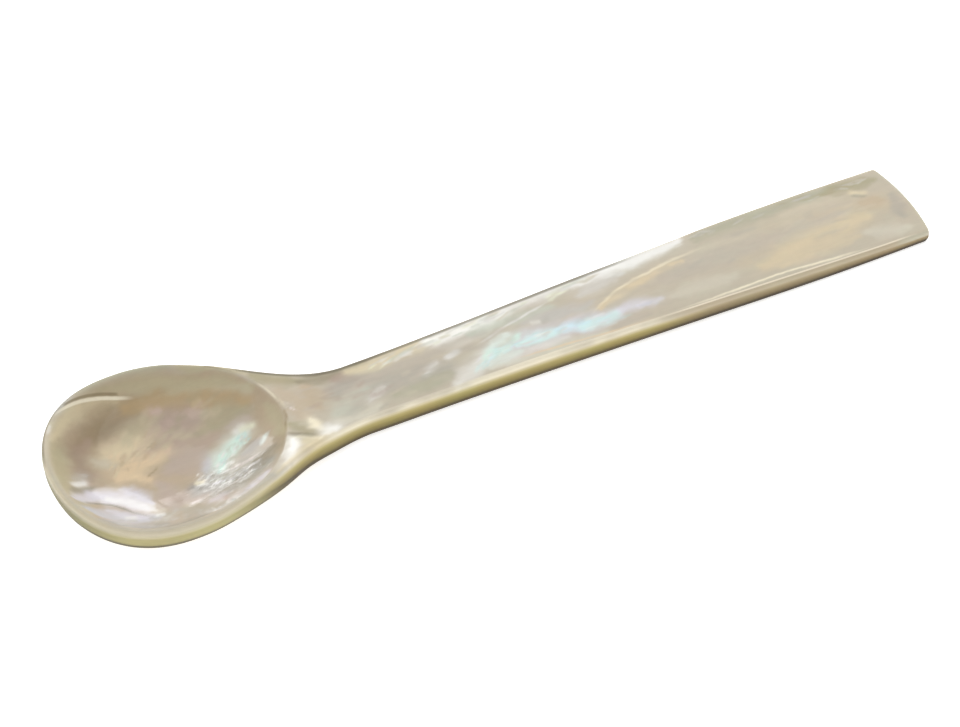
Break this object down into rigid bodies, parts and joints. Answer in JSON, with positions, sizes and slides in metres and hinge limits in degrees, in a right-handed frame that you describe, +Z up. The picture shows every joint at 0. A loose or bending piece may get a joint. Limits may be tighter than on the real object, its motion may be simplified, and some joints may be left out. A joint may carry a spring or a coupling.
{
  "type": "egg spoon",
  "caption": "Small spoon carved from one piece of mother-of-pearl, with a deep egg-shaped bowl and a flat handle that widens to an arched end.",
  "frame": {"origin": "on the table, under the middle of the spoon's bounding box", "axes": "+X along the spoon from the bowl to the handle's end, +Y across the bowl, +Z up out of the bowl's hollow"},
  "size_m": [0.1268, 0.029, 0.0075],
  "materials": {
    "nacre": "polished mother-of-pearl, high gloss"
  },
  "bodies": {
    "root": {"spoon": "nacre"}
  },
  "joints": []
}
